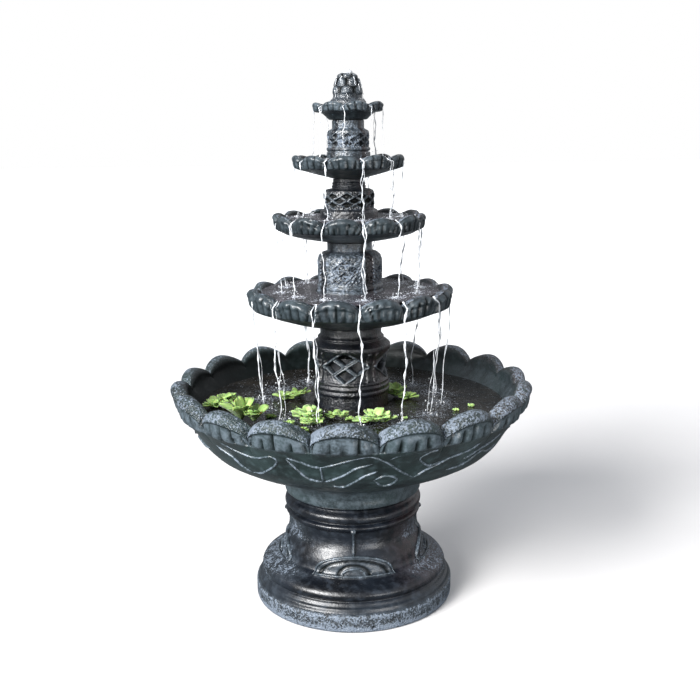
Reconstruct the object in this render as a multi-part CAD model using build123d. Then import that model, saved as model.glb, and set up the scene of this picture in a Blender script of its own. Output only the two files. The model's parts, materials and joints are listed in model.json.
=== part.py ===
from build123d import *
import math
import os

# Tiered garden fountain of stacked cast-stone pieces, in millimetres.
# The origin is the centre of the foot's flat underside, +Z is up and the front is -Y.
# Every turned profile is a list of (radius, height) steps about the fountain's axis.

# ---- driving dimensions ----------------------------------------------------

FOUNTAIN_TOP = 1650
PEDESTAL_TOP = 345
BASIN_SEAT = 349
BASIN_FLOOR = 450
BASIN_CREST = 726
DISH_SEATS = [884, 1146, 1336, 1508]
DISH_FLOORS = [928, 1180, 1364, 1541]
DISH_CRESTS = [1009, 1232, 1406, 1559]
FINIAL_FOOT = DISH_FLOORS[3]

FOOT_RADIUS = 320
BASIN_RADIUS = 566
DISH_RADII = [324, 236, 173, 110]
BASIN_LOBES = 18
DISH_LOBES = [14, 12, 10, 8]
BASIN_TURN = -2.3
DISH_TURNS = [17.7, -5.0, -5.5, -29.1]
COLUMN_TURNS = [-10.0, -8.6, -4.5, 0.0]

GASKET = 2
SEAT_GAP = 1.0
SLIP_GAP = 0.3
FIT_GAP = 0.05

RISER_RADIUS = 10.65
RISER_BORE = 7.9
RISER_ABOVE_FLOOR = 22
RISER_END_GAP = 2
RISER_BOTTOM = 648
COUPLING_RADIUS = 17
COUPLING_FOOT = 2
COUPLING_LENGTH = 40
STOPPER_RADII = [22, 20, 18, 16]
NOZZLE_RADIUS = 6
NOZZLE_BORE = 4

HOSE_WALL = 3
HOSE_BOTTOM = 548
HOSE_TOP = 668

PUMP_BOTTOM = 458
PUMP_TOP = 532
PUMP_AXIS_Z = 510
PUMP_HALF_WIDTH = 32
MOTOR_FRONT = 14
MOTOR_BACK = 73
COVER_BACK = 76
PUMP_WALL = 3.5
WELL_RADIUS = 12.5
WELL_WALL = 2.5
WELL_END = 62
ROTOR_RADIUS = 11.2
SHAFT_RADIUS = 1.5
BUSH_RADIUS = 2.6
VOLUTE_RADIUS = 21
CHAMBER_RADIUS = 18
IMPELLER_RADIUS = 15
IMPELLER_VANES = 6
EYE_RADIUS = 9
FLANGE_HALF_WIDTH = 28
FLANGE_LOW = 466
FLANGE_HIGH = 532
STRAINER_FRONT = -58
STRAINER_BACK = -11
DIAL_SIDE = 24

UPRIGHT = (Align.CENTER, Align.CENTER, Align.MIN)


# ---- shared shapes ---------------------------------------------------------

def profile(steps):
    """A closed face in the XZ plane. A step is an end point, or a (middle, end) pair for an arc."""
    edges = []
    at = steps[0]
    for step in steps[1:] + steps[:1]:
        is_arc = isinstance(step[0], tuple)
        end = step[1] if is_arc else step
        corners = [(at[0], 0, at[1])] + [(p[0], 0, p[1]) for p in (step if is_arc else [step])]
        edges.append(ThreePointArc(*corners) if is_arc else Line(*corners))
        at = end
    return make_face(edges)


def turned(steps):
    """The solid that a profile sweeps round the fountain's axis."""
    return revolve(profile(steps), Axis.Z, 360)


def tube(outer, inner, bottom, top):
    """A plain upright tube on the axis."""
    return turned([(inner, bottom), (outer, bottom), (outer, top), (inner, top)])


def disc(radius, bottom, top):
    """A plain upright disc on the axis."""
    return Pos(0, 0, bottom) * Cylinder(radius, top - bottom, align=UPRIGHT)


def block(low, high):
    """A box between two corners."""
    size = [h - l for l, h in zip(low, high)]
    middle = [(h + l) / 2 for l, h in zip(low, high)]
    return Pos(*middle) * Box(*size)


def around(shape, count, turn=0.0):
    """Copies of a shape spaced evenly round the axis."""
    return [Rot(0, 0, turn + 360 * i / count) * shape for i in range(count)]


def lengthwise(steps, axis_z=PUMP_AXIS_Z):
    """A solid turned about the pump's shaft: steps are (radius, y) pairs, y growing to the back."""
    return Pos(0, 0, axis_z) * Rot(-90, 0, 0) * turned(steps)


def scalloped_prism(lobes, notch_radius, lobe_radius, bottom, top, turn):
    """An upright prism whose outline is a ring of lobes, each with four straight facets."""
    half = math.pi / lobes
    shoulder = notch_radius + 0.72 * (lobe_radius - notch_radius)
    facets = [(-1, notch_radius), (-0.5, shoulder), (0, lobe_radius), (0.5, shoulder)]
    corners = []
    for i in range(lobes):
        middle = math.radians(turn - 90) + 2 * half * i
        for share, radius in facets:
            angle = middle + share * half
            corners.append((radius * math.cos(angle), radius * math.sin(angle)))
    return Pos(0, 0, bottom) * extrude(make_face(Polyline(*corners, close=True)), top - bottom)


def notch_wedge(half_width, depth, crest, inner, outer):
    """A radial V-shaped cutter along +X, with its narrow flat bottom down."""
    above = 10
    flat = half_width * 0.1
    wide = half_width * (depth + above) / depth
    face = make_face(Polyline(
        (-flat, 0), (flat, 0), (wide, depth + above), (-wide, depth + above), close=True))
    bar = extrude(face, outer - inner)
    return Pos(inner, 0, crest - depth) * Rot(0, 0, 90) * Rot(90, 0, 0) * bar


def scalloped_bowl(outer, inner, lobes, turn, rim):
    """A bowl turned from its outer profile and hollowed, with a lobed rim and a V between lobes.

    rim is (notch radius, lobe radius, lobe bottom, crest, V half width, V depth)."""
    notch_radius, lobe_radius, lobe_bottom, crest, half_width, depth = rim
    clear = 20
    bowl = turned(outer) - turned(inner)
    ring = disc(lobe_radius + clear, lobe_bottom, crest + clear)
    prism = scalloped_prism(lobes, notch_radius, lobe_radius, lobe_bottom - 1, crest + clear + 1, turn)
    bowl -= ring - prism
    wedge = notch_wedge(half_width, depth, crest, notch_radius * 0.7, lobe_radius + clear)
    for cutter in around(wedge, lobes, turn - 90 + 180 / lobes):
        bowl -= cutter
    return bowl


def diamond_pockets(radius, depth, half_width, half_height, middle, turn):
    """Four panels of diamond-shaped pockets, sunk into a column's face."""
    lozenge = make_face(Polyline(
        (half_width, 0), (0, half_height), (-half_width, 0), (0, -half_height), close=True))
    reach = radius * 0.5
    punch = extrude(lozenge, reach)
    punch = Pos(0, -(radius - depth), middle) * Rot(90, 0, 0) * punch
    side = math.degrees(math.asin((half_width + 4) * 0.98 / radius))
    rise = half_height + 3
    places = [(0, rise), (0, -rise), (-side, 0), (side, 0)]
    punches = []
    for angle, height in places:
        placed = Rot(0, 0, angle) * Pos(0, 0, height) * punch
        punches += around(placed, 4, turn)
    return punches


# ---- pedestal --------------------------------------------------------------

BELL = [
    (245, 143), (231, 148), (227, 158), (225, 172), (220, 186), (212, 200), (203, 214), (198, 230),
    (197, 248)]
PLINTH_STEPS = [
    (0, 0), (FOOT_RADIUS - 4, 0), (FOOT_RADIUS, 6), (FOOT_RADIUS, 52), (312, 60), (309, 72),
    (301, 75), (298, 85), (288, 89), ((296, 106), (276, 124)), (266, 128), ((269, 133), (263, 138)),
    *BELL, (201, 272), (211, 279), ((221, 288), (211, 297)),
    (203, 300), ((222, 318), (206, 336)), (200, PEDESTAL_TOP), (0, PEDESTAL_TOP)]
LIP_OUTER = 140
LIP_INNER = 118
LIP_HEIGHT = 16
RELIEF_HEIGHT = 6


def arch_bars():
    """The outline of one front panel, as bars along Y: an arch, a half disc and a rib above them."""
    upper = Pos(0, 40) * Rectangle(240, 80)
    arch = (Ellipse(115, 57) - Ellipse(100, 45)) & upper
    half_disc = Ellipse(34, 25) & upper
    rib = Pos(0, 92) * Rectangle(10, 78)
    bars = extrude(arch + half_disc + rib, 150)
    return Pos(0, -130, 143) * Rot(90, 0, 0) * bars


def pedestal():
    """The hollow foot: stepped plinth, torus, ogee with four arch panels, and a top roll."""
    cavity = [(0, -1), (292, -1), (286, 50), (235, 100), (174, 190), (170, 310), (0, 310)]
    face = [(radius + RELIEF_HEIGHT, height) for radius, height in BELL]
    relief = [(180, 143), *face, (206, 276), (180, 276)]
    body = turned(PLINTH_STEPS)
    skin = turned(relief)
    for bars in around(arch_bars(), 4):
        body += skin & bars
    body -= turned(cavity)
    body += tube(LIP_OUTER, LIP_INNER, 310, PEDESTAL_TOP + LIP_HEIGHT)
    body -= disc(LIP_INNER, 300, PEDESTAL_TOP + 1)
    return body - block((-18, FOOT_RADIUS - 100, -1), (18, FOOT_RADIUS + 10, 34))


def basin_seat_ring():
    """The flat rubber ring that the basin stands on."""
    return tube(196, 146, PEDESTAL_TOP, BASIN_SEAT)


# ---- basin -----------------------------------------------------------------

def basin():
    """The large bowl, with a foot ring over the pedestal's lip and a lip round the first column."""
    outer = [
        (0, 402), (LIP_OUTER + SEAT_GAP, 402), (LIP_OUTER + SEAT_GAP, BASIN_SEAT), (214, BASIN_SEAT),
        (218, 353), (220, 372), (214, 381), (222, 391), (224, 408), (250, 425), (319, 450),
        (388, 480), (440, 508), (470, 540), (500, 600), (528, 634), (550, 658), (563, 678),
        (BASIN_RADIUS, 696), (562, 712), (552, 722), (537, BASIN_CREST), (520, 722), (510, 712),
        (508, 700), (0, 700)]
    inner = [
        (0, BASIN_FLOOR), (200, BASIN_FLOOR), (300, 474), (372, 512), (440, 574), (478, 630),
        (504, 670), (508, 701), (508, 760), (0, 760)]
    rim = (546, BASIN_RADIUS, 634, BASIN_CREST, 40, 38)
    bowl = scalloped_bowl(outer, inner, BASIN_LOBES, BASIN_TURN, rim)
    bowl += tube(130, 117 + SEAT_GAP, BASIN_FLOOR - 1, BASIN_FLOOR + 8)
    hole = [(0, 395), (23, 395), (23, 402), (26, 451), (0, 451)]
    return bowl - turned(hole)


def cord_stopper():
    """The tapered rubber stopper of the basin's middle hole, with a passage for a cord."""
    return turned([(5, 404), (22.9, 404), (25.6, 450), (30, 450), (30, 454), (5, 454)])


# ---- dishes ----------------------------------------------------------------

DISH_OUTERS = [
    [(0, 884), (97, 884), (110, 886), (125, 893), (188, 905), (250, 925), (290, 944),
     (312, 959), (322, 974), (324, 986), (319, 1000), (310, 1007), (299, 1009), (287, 1006),
     (278, 999), (276, 992), (0, 992)],
    [(0, 1146), (70, 1146), (110, 1152), (153, 1160), (198, 1172), (210, 1182),
     (226, 1192), (234, 1203), (236, 1213), (232, 1225), (219, 1232), (207, 1228), (202, 1219),
     (0, 1219)],
    [(0, 1336), (50, 1336), (64, 1340), (100, 1349), (127, 1357), (150, 1365),
     (164, 1371), (171, 1380), (173, 1389), (169, 1401), (159, 1406), (150, 1403), (146, 1396),
     (0, 1396)],
    [(0, 1508), (57, 1508), (63, 1515), (77, 1527), (80, 1531), (98, 1531),
     (106, 1537), (109, 1546), (106, 1556), (99, 1559), (94, 1557), (91, 1553), (0, 1553)],
]
DISH_INNERS = [
    [(0, 928), (130, 928), (188, 936), (240, 954), (270, 980), (276, 993), (276, 1030), (0, 1030)],
    [(0, 1180), (110, 1180), (155, 1188), (190, 1204), (202, 1220), (202, 1250), (0, 1250)],
    [(0, 1364), (90, 1364), (122, 1374), (142, 1388), (146, 1397), (146, 1420), (0, 1420)],
    [(0, 1541), (70, 1541), (86, 1546), (92, 1555), (92, 1570), (0, 1570)],
]
DISH_RIMS = [
    (308, DISH_RADII[0], 944, DISH_CRESTS[0], 30, 24),
    (222, DISH_RADII[1], 1182, DISH_CRESTS[1], 22, 18),
    (162, DISH_RADII[2], 1365, DISH_CRESTS[2], 17, 14),
    (102, DISH_RADII[3], 1535, DISH_CRESTS[3], 12, 9.5),
]


def dish(n):
    """One scalloped dish, with a middle hole for the riser and its stopper."""
    bowl = scalloped_bowl(DISH_OUTERS[n], DISH_INNERS[n], DISH_LOBES[n], DISH_TURNS[n], DISH_RIMS[n])
    return bowl - disc(STOPPER_RADII[n], DISH_SEATS[n] - 5, DISH_FLOORS[n] + 5)


def dish_gasket(n):
    """The thin rubber ring between a column's head and the dish bedded on it."""
    neck_bore, neck_radius = COLUMN_NECKS[n]
    return tube(neck_radius - 2, neck_bore + 2, DISH_SEATS[n] - GASKET, DISH_SEATS[n])


def dish_stopper(n):
    """The rubber stopper that seals a riser pipe in its dish's middle hole."""
    return tube(STOPPER_RADII[n] - FIT_GAP, RISER_RADIUS + FIT_GAP, DISH_SEATS[n] + 2, DISH_FLOORS[n] + 1)


# ---- columns ---------------------------------------------------------------

COLUMN_NECKS = [(70, 96), (45, 69), (28, 48), (28, 48)]
COLUMN_OUTERS = [
    [(0, 450), (117, 450), (117, 676), (121, 680), (121, 688), (117, 691), (120, 698), (120, 704),
     (116, 708), (118, 716), (111, 722), ((106, 762), (118, 806)), (124, 818), (124, 828),
     (112, 838), (101, 844), ((105, 850), (99, 856)), (96, 860), (96, 882), (0, 882)],
    [(0, 928), (104, 928), (104, 996), (99, 1000), (102, 1006), (102, 1014), (97, 1018),
     (99, 1036), (99, 1086), ((96, 1104), (84, 1114)), (70, 1118), (69, 1120), (69, 1144), (0, 1144)],
    [(0, 1180), (88, 1180), (88, 1236), (86, 1241), (76, 1246), (77, 1290), ((74, 1300), (66, 1304)),
     (50, 1307), ((53, 1312), (49, 1317)), ((52, 1321), (48, 1326)), (48, 1334), (0, 1334)],
    [(0, 1364), (66, 1364), (66, 1412), (62, 1416), (66, 1420), (66, 1425), (62, 1428),
     (63, 1470), ((61, 1476), (55, 1479)), (48, 1483), (48, 1506), (0, 1506)],
]
COLUMN_INNERS = [
    [(0, 449), (95, 449), (95, 700), (88, 722), (88, 800), (70, 835), (70, 883), (0, 883)],
    [(0, 927), (78, 927), (78, 1080), (45, 1108), (45, 1145), (0, 1145)],
    [(0, 1179), (58, 1179), (56, 1282), (28, 1300), (28, 1335), (0, 1335)],
    [(0, 1363), (44, 1363), (44, 1462), (28, 1474), (28, 1507), (0, 1507)],
]
COLUMN_DIAMONDS = [
    (112, 9, 24, 19, 782), (99, 7, 17, 13, 1060), (77, 5, 12, 9, 1268), (63, 5, 10, 8, 1448)]
INLET_HALF_WIDTH = 24
INLET_HEIGHT = 28


def column(n):
    """One hollow column, with four panels of diamond pockets."""
    body = turned(COLUMN_OUTERS[n]) - turned(COLUMN_INNERS[n])
    for punch in diamond_pockets(*COLUMN_DIAMONDS[n], COLUMN_TURNS[n]):
        body -= punch
    if n == 0:
        low = (-INLET_HALF_WIDTH, 80, BASIN_FLOOR - 1)
        high = (INLET_HALF_WIDTH, 140, BASIN_FLOOR + INLET_HEIGHT)
        for cutter in around(block(low, high), 4):
            body -= cutter
    return body


# ---- water pipe ------------------------------------------------------------

def riser(n):
    """One length of rigid pipe, from the coupling below to just above its own dish's floor."""
    if n == 0:
        bottom = RISER_BOTTOM
    else:
        bottom = DISH_FLOORS[n - 1] + RISER_ABOVE_FLOOR + RISER_END_GAP
    return tube(RISER_RADIUS, RISER_BORE, bottom, DISH_FLOORS[n] + RISER_ABOVE_FLOOR)


def coupling(n, upper_radius):
    """A rubber sleeve on a riser's top end, loose round the pipe that drops in from above."""
    bottom = DISH_FLOORS[n] + COUPLING_FOOT
    joint = DISH_FLOORS[n] + RISER_ABOVE_FLOOR
    return turned([
        (RISER_RADIUS + FIT_GAP, bottom), (COUPLING_RADIUS, bottom),
        (COUPLING_RADIUS, bottom + COUPLING_LENGTH), (upper_radius + SLIP_GAP, bottom + COUPLING_LENGTH),
        (upper_radius + SLIP_GAP, joint), (RISER_RADIUS + FIT_GAP, joint)])


# ---- finial ----------------------------------------------------------------

FINIAL_BORE = 12
FINIAL_SOCKET = COUPLING_RADIUS + 3


def finial():
    """The bud on top, hollow underneath over the pipe's end."""
    outer = [
        (0, FINIAL_FOOT), (54, FINIAL_FOOT), (56, 1545), (56, 1563), ((48, 1568), (42, 1576)),
        (40, 1580), ((48, 1590), (44, 1603)), (38, 1616), (35, 1628), ((31, 1640), (20, 1644)), (0, 1645)]
    socket = [
        (0, FINIAL_FOOT - 1), (FINIAL_SOCKET, FINIAL_FOOT - 1), (FINIAL_SOCKET, 1588),
        (FINIAL_BORE, 1592), (FINIAL_BORE, 1634), (0, 1634)]
    body = turned(outer) - turned(socket)
    return body - disc(NOZZLE_RADIUS + FIT_GAP, 1630, FOUNTAIN_TOP)


def finial_nozzle():
    """The copper water tube held in the finial, with its mouth just above the bud."""
    bottom = DISH_FLOORS[3] + RISER_ABOVE_FLOOR + RISER_END_GAP
    return tube(NOZZLE_RADIUS, NOZZLE_BORE, bottom, FOUNTAIN_TOP)


def finial_grommet():
    """The rubber bush that grips the nozzle inside the finial."""
    return tube(FINIAL_BORE - FIT_GAP, NOZZLE_RADIUS + FIT_GAP, 1600, 1634)


# ---- pump ------------------------------------------------------------------

def pump_housing():
    """The motor's shell, closed at the front by a well for the rotor."""
    half = PUMP_HALF_WIDTH
    shell = block((-half, MOTOR_FRONT, PUMP_BOTTOM), (half, MOTOR_BACK, PUMP_TOP))
    shell = fillet(shell.edges().filter_by(Axis.Y), 6)
    inside = half - PUMP_WALL
    shell -= block((-inside, MOTOR_FRONT + PUMP_WALL, PUMP_BOTTOM + PUMP_WALL),
                   (inside, MOTOR_BACK + 1, PUMP_TOP - 1.5))
    well = WELL_RADIUS + WELL_WALL
    shell += lengthwise([(0, MOTOR_FRONT), (well, MOTOR_FRONT), (well, WELL_END), (0, WELL_END)])
    bore_end = WELL_END - WELL_WALL
    return shell - lengthwise([(0, MOTOR_FRONT - 1), (WELL_RADIUS, MOTOR_FRONT - 1),
                               (WELL_RADIUS, bore_end), (0, bore_end)])


def motor_cover():
    """The plate that closes the motor's back, with a hole for the cord's gland."""
    half = PUMP_HALF_WIDTH
    plate = block((-half, MOTOR_BACK, PUMP_BOTTOM), (half, COVER_BACK, PUMP_TOP))
    plate = fillet(plate.edges().filter_by(Axis.Y), 6)
    hole = lengthwise([(0, MOTOR_BACK - 1), (4, MOTOR_BACK - 1), (4, COVER_BACK + 1), (0, COVER_BACK + 1)])
    return plate - hole


def cord_gland():
    """The tapered rubber gland on the motor cover, with the cord's passage through it."""
    bore, root = 2.6, 4 - FIT_GAP
    return lengthwise([
        (bore, MOTOR_BACK), (root, MOTOR_BACK), (root, COVER_BACK), (6.5, COVER_BACK),
        (6.5, COVER_BACK + 3), (4.2, COVER_BACK + 14), (bore, COVER_BACK + 14)])


def stator_core():
    """The laminated iron yoke, a U round the rotor's well."""
    yoke = block((-26, 26, 464), (26, 54, 526))
    gap = WELL_RADIUS + WELL_WALL + SLIP_GAP
    return yoke - block((-gap, 25, 474), (gap, 55, 530))


def stator_coil():
    """The winding on the yoke's lower limb."""
    outer = block((-14, 21, 462), (14, 59, 488))
    limb = block((-15, 26 - SLIP_GAP, 464 - SLIP_GAP), (15, 54 + SLIP_GAP, 474 + SLIP_GAP))
    return outer - limb


def pump_shaft():
    """The fixed ceramic shaft that the rotor spins on."""
    return lengthwise([(0, -10), (SHAFT_RADIUS, -10), (SHAFT_RADIUS, 58), (0, 58)])


def shaft_bush(front, back):
    """A rubber bush that holds one end of the shaft."""
    bore = SHAFT_RADIUS + FIT_GAP
    return lengthwise([(bore, front), (BUSH_RADIUS, front), (BUSH_RADIUS, back), (bore, back)])


def rear_bush():
    """The back bush, a collar that fills the bottom of the rotor's well."""
    bore = SHAFT_RADIUS + FIT_GAP
    rim = WELL_RADIUS - FIT_GAP
    end = WELL_END - WELL_WALL
    return lengthwise([(bore, end - 4), (rim, end - 4), (rim, end), (bore, end)])


def rotor_magnet():
    """The ceramic magnet that turns in the well."""
    bore = SHAFT_RADIUS + FIT_GAP
    return lengthwise([(bore, 16), (ROTOR_RADIUS, 16), (ROTOR_RADIUS, 54), (bore, 54)])


def impeller():
    """Six straight vanes on a disc, joined to the rotor's front end by a hub."""
    bore = SHAFT_RADIUS + FIT_GAP
    wheel = lengthwise([
        (bore, -5), (4.5, -5), (4.5, 7), (IMPELLER_RADIUS, 7), (IMPELLER_RADIUS, 9),
        (6, 9), (6, 16), (bore, 16)])
    vane = block((-0.8, -5, 4), (0.8, 7, IMPELLER_RADIUS))
    for i in range(IMPELLER_VANES):
        wheel += Pos(0, 0, PUMP_AXIS_Z) * Rot(0, 360 * i / IMPELLER_VANES, 0) * vane
    return wheel


def volute_cover():
    """The pump chamber, with an inlet eye in front, an outlet stub on top and a square flange."""
    body = lengthwise([(0, -12), (VOLUTE_RADIUS, -12), (VOLUTE_RADIUS, 12), (0, 12)])
    body += block((-FLANGE_HALF_WIDTH, -14, FLANGE_LOW), (FLANGE_HALF_WIDTH, -11, FLANGE_HIGH))
    body += disc(10.9, PUMP_AXIS_Z + 10, HOSE_BOTTOM - 8)
    body += Pos(15, 0, PUMP_AXIS_Z) * Rot(0, 90, 0) * Cylinder(6, DIAL_SIDE - 15.5, align=UPRIGHT)
    body -= lengthwise([(0, -9), (CHAMBER_RADIUS, -9), (CHAMBER_RADIUS, 13), (0, 13)])
    body -= disc(8, PUMP_AXIS_Z + 5, HOSE_BOTTOM)
    eye = lengthwise([(BUSH_RADIUS + 2, -16), (EYE_RADIUS, -16), (EYE_RADIUS, -8), (BUSH_RADIUS + 2, -8)])
    for i in range(3):
        eye -= Pos(0, 0, PUMP_AXIS_Z) * Rot(0, 120 * i, 0) * block((-1.5, -14, 0), (1.5, -9, 12))
    body -= eye
    body -= lengthwise([(0, -16), (BUSH_RADIUS + FIT_GAP, -16), (BUSH_RADIUS + FIT_GAP, -8), (0, -8)])
    stem_hole = Pos(10, 0, PUMP_AXIS_Z) * Rot(0, 90, 0) * Cylinder(2 + FIT_GAP, 30, align=UPRIGHT)
    return body - stem_hole


def volute_seal():
    """The rubber ring between the pump chamber and the motor's front."""
    return lengthwise([(CHAMBER_RADIUS + 0.5, 12), (VOLUTE_RADIUS, 12),
                       (VOLUTE_RADIUS, MOTOR_FRONT), (CHAMBER_RADIUS + 0.5, MOTOR_FRONT)])


def flow_dial():
    """The knurled dial beside the chamber, on a stem that turns in the chamber's boss."""
    stem = Pos(16, 0, PUMP_AXIS_Z) * Rot(0, 90, 0) * Cylinder(2, DIAL_SIDE - 16, align=UPRIGHT)
    knob = Pos(DIAL_SIDE, 0, PUMP_AXIS_Z) * Rot(0, 90, 0) * Cylinder(9, 4, align=UPRIGHT)
    rib = Pos(DIAL_SIDE + 3.5, 0, PUMP_AXIS_Z) * Box(5, 1.6, 18)
    return stem + knob + rib


def strainer_cover():
    """The slotted hood that slides on over the chamber's flange."""
    half = FLANGE_HALF_WIDTH + SLIP_GAP
    low, high = FLANGE_LOW - SLIP_GAP, FLANGE_HIGH + SLIP_GAP
    hood = block((-half - 2, STRAINER_FRONT, low - 2), (half + 2, STRAINER_BACK, high + 2))
    hood -= block((-half, STRAINER_FRONT + 2, low), (half, STRAINER_BACK + 1, high))
    for i in range(9):
        z = FLANGE_LOW + 6 + 6.5 * i
        hood -= block((-22, STRAINER_FRONT - 1, z), (22, STRAINER_FRONT + 3, z + 2.5))
        hood -= block((-half - 3, -52, z), (half + 3, -22, z + 2.5))
    return hood


def strainer_sponge():
    """The foam block inside the hood."""
    return block((-26, STRAINER_FRONT + 3, FLANGE_LOW + 2), (26, -20, FLANGE_HIGH - 2))


def suction_feet():
    """Four rubber suction cups under the pump."""
    cup = Cone(8, 4, PUMP_BOTTOM - BASIN_FLOOR, align=UPRIGHT)
    places = [(x, y, BASIN_FLOOR) for x in (-22, 22) for y in (36, 66)]
    return Compound([Pos(*place) * cup for place in places])


def pump_hose():
    """The short clear hose from the pump's outlet to the first riser, in line with the axis."""
    bore = RISER_RADIUS + SLIP_GAP
    return tube(bore + HOSE_WALL, bore, HOSE_BOTTOM, HOSE_TOP)


def hose_tail():
    """The ribbed tail pressed into the pump's outlet, which the hose pushes onto."""
    rib = RISER_RADIUS + SLIP_GAP - FIT_GAP
    return turned([
        (5.5, 528), (8 - FIT_GAP, 528), (8 - FIT_GAP, 540), (12, 540), (12, HOSE_BOTTOM - 1),
        (rib - 1, HOSE_BOTTOM - 1), (rib - 1, 552), (rib, 553), (rib - 1, 558), (rib, 559), (rib - 1, 564),
        (rib, 565), (rib - 1, 572), (5.5, 572)])


def hose_clip():
    """The spring band round the hose, over its ribbed tail."""
    bore = RISER_RADIUS + SLIP_GAP + HOSE_WALL + FIT_GAP
    band = tube(bore + 1.2, bore, 556, 564)
    ears = block((-4, -bore - 7, 556), (4, -bore - 0.5, 564))
    ears -= block((-2.6, -bore - 8, 555), (2.6, -bore + 1, 565))
    return band + ears


# ---- output ----------------------------------------------------------------

def pump_nodes():
    """The pump's pieces, and the hose that joins it to the first riser."""
    return {
        "suction_feet": suction_feet(),
        "pump_housing": pump_housing(),
        "motor_cover": motor_cover(),
        "cord_gland": cord_gland(),
        "stator_core": stator_core(),
        "stator_coil": stator_coil(),
        "pump_shaft": pump_shaft(),
        "shaft_bush_front": shaft_bush(-12, -8),
        "shaft_bush_rear": rear_bush(),
        "rotor_magnet": rotor_magnet(),
        "impeller": impeller(),
        "volute_cover": volute_cover(),
        "volute_seal": volute_seal(),
        "flow_dial": flow_dial(),
        "strainer_cover": strainer_cover(),
        "strainer_sponge": strainer_sponge(),
        "hose_tail": hose_tail(),
        "pump_hose": pump_hose(),
        "hose_clip": hose_clip(),
    }


def tier_nodes(n):
    """The pieces of one tier: its column, dish, seals and length of pipe."""
    return {
        f"column_{n + 1}": column(n),
        f"dish_{n + 1}_gasket": dish_gasket(n),
        f"dish_{n + 1}": dish(n),
        f"dish_{n + 1}_stopper": dish_stopper(n),
        f"riser_{n + 1}": riser(n),
        f"riser_coupling_{n + 1}": coupling(n, RISER_RADIUS if n < 3 else NOZZLE_RADIUS),
    }


def nodes():
    """Every named piece, in the order that the fountain is put together."""
    pieces = {
        "pedestal": pedestal(),
        "basin_seat_ring": basin_seat_ring(),
        "basin": basin(),
        "cord_stopper": cord_stopper(),
    }
    pieces.update(pump_nodes())
    for n in range(4):
        pieces.update(tier_nodes(n))
    pieces["finial"] = finial()
    pieces["finial_nozzle"] = finial_nozzle()
    pieces["finial_grommet"] = finial_grommet()
    return pieces


def main():
    os.makedirs("parts", exist_ok=True)
    for name, shape in nodes().items():
        export_step(shape, f"parts/{name}.step")
        print(name, round(shape.volume))


main()
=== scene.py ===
"""Looks of the tiered water fountain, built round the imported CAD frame: wet cast stone, water, plants.

Blender pieces are in metres in the frame's own axes, +Z up, with the camera on the -Y side. Outlines are
(radius, height) pairs in millimetres. An azimuth is in degrees from -Y and grows towards +X.
"""
import json
from math import cos, pi, radians, sin, tau

import bpy
import numpy as np
from mathutils import Euler, Matrix, Vector


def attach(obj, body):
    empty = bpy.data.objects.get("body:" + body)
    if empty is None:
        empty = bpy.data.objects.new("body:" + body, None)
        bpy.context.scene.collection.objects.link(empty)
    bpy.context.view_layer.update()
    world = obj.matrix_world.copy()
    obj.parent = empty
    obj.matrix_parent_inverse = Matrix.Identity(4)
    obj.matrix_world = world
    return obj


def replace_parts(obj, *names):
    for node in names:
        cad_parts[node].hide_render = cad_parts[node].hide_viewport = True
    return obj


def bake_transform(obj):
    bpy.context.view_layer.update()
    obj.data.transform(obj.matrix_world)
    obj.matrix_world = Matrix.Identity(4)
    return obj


MM = 0.001
SEED = 7

# The fountain's driving dimensions, in millimetres.
BASIN_FLOOR = 450
TIERS = 4
WATER_LEVELS = [995, 1220, 1395, 1551]
BASIN_WATER = 636
BORES = [22, 20, 18, 16]

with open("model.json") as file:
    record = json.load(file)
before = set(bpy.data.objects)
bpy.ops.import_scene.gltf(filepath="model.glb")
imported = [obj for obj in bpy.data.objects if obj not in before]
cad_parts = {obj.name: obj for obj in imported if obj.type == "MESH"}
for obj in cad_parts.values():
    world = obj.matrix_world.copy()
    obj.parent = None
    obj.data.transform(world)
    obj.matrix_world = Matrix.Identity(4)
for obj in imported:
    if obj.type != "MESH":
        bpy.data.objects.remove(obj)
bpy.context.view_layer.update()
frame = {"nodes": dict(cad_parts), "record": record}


# ---- shapes ----

def ease(low, high, value):
    """0 below low, 1 above high, and a smooth rise between; low may be the larger."""
    t = np.clip((value - low) / (high - low), 0, 1)
    return t * t * (3 - 2 * t)


def resample(points, counts):
    """Points along a line, with counts[i] even steps in its segment i."""
    points = np.asarray(points, float)
    runs = [np.linspace(a, b, n, endpoint=False) for a, b, n in zip(points[:-1], points[1:], counts)]
    return np.vstack(runs + [points[-1:]])


def step_counts(points, spacing):
    """How many steps of about that spacing each segment of a line takes."""
    lengths = np.linalg.norm(np.diff(np.asarray(points, float), axis=0), axis=1)
    return np.maximum(1, np.round(lengths / spacing)).astype(int)


def soften(line, passes):
    """Rounds a line's corners, and leaves its ends in place."""
    line = line.copy()
    for _ in range(passes):
        line[1:-1] = 0.25 * line[:-2] + 0.5 * line[1:-1] + 0.25 * line[2:]
    return line


def outline(points, spacing, passes=2):
    """An evenly stepped outline with softened corners."""
    return soften(resample(points, step_counts(points, spacing)), passes)


def around(radius, height, azimuth):
    """Points in metres from radii, heights and azimuths in radians, which may be arrays."""
    radius, height, azimuth = np.broadcast_arrays(radius, height, azimuth)
    return np.stack([radius * np.sin(azimuth), -radius * np.cos(azimuth), height], -1) * MM


def full_turn(steps):
    """Azimuths once round, in radians, as a row."""
    return np.linspace(0, tau, steps, endpoint=False)[None, :]


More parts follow.
